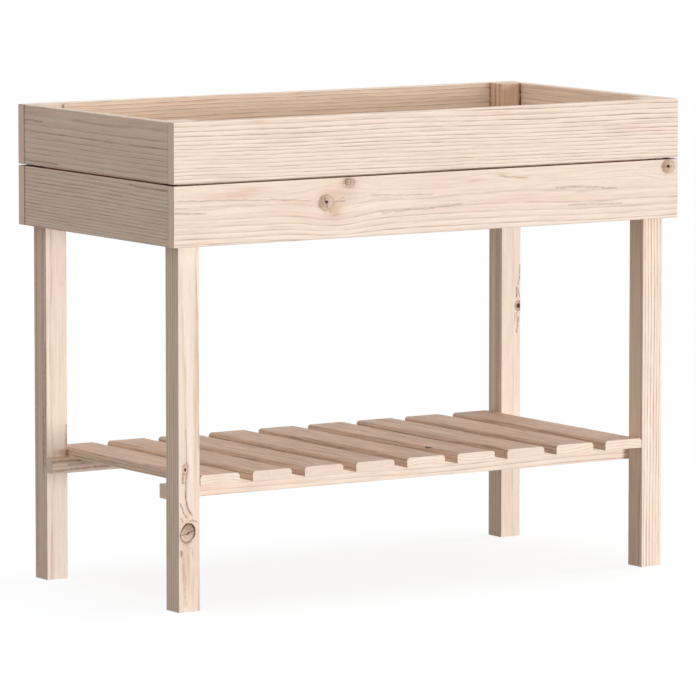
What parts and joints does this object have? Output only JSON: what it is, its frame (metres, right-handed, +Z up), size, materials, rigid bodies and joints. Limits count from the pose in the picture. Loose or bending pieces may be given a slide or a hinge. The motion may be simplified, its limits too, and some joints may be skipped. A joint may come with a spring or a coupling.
{
  "type": "raised garden bed",
  "caption": "Raised wooden planter table: an open box of two board courses on four square legs, with a slatted drainage floor inside and a slatted shelf below.",
  "frame": {"origin": "middle of the footprint, on the ground between the four feet", "axes": "+X to the right along the long front, +Y from the front to the back, +Z up"},
  "size_m": [1, 0.5, 0.8],
  "materials": {
    "board_pine": "planed, bare",
    "leg_pine": "planed, bare",
    "slat_pine": "planed, bare",
    "bearer_pine": "planed, bare",
    "screw_steel": "zinc plated"
  },
  "bodies": {
    "root": {"leg_front_left": "leg_pine", "leg_front_right": "leg_pine", "leg_back_left": "leg_pine", "leg_back_right": "leg_pine", "lower_front_board": "board_pine", "lower_back_board": "board_pine", "lower_left_board": "board_pine", "lower_right_board": "board_pine", "upper_front_board": "board_pine", "upper_back_board": "board_pine", "upper_left_board": "board_pine", "upper_right_board": "board_pine", "floor_batten_front": "bearer_pine", "floor_batten_back": "bearer_pine", "floor_batten_left": "bearer_pine", "floor_batten_right": "bearer_pine", "floor_slat_1": "slat_pine", "floor_slat_2": "slat_pine", "floor_slat_3": "slat_pine", "floor_slat_4": "slat_pine", "floor_slat_5": "slat_pine", "floor_slat_6": "slat_pine", "floor_slat_7": "slat_pine", "floor_slat_8": "slat_pine", "floor_slat_9": "slat_pine", "floor_slat_10": "slat_pine", "floor_slat_11": "slat_pine", "floor_end_strip_left": "slat_pine", "floor_end_strip_right": "slat_pine", "shelf_rail_front": "bearer_pine", "shelf_rail_back": "bearer_pine", "shelf_slat_1": "slat_pine", "shelf_slat_2": "slat_pine", "shelf_slat_3": "slat_pine", "shelf_slat_4": "slat_pine", "shelf_slat_5": "slat_pine", "shelf_slat_6": "slat_pine", "shelf_slat_7": "slat_pine", "shelf_slat_8": "slat_pine", "shelf_slat_9": "slat_pine", "box_screws": "screw_steel", "batten_screws": "screw_steel", "floor_screws": "screw_steel", "rail_screws": "screw_steel", "slat_screws": "screw_steel"}
  },
  "joints": []
}
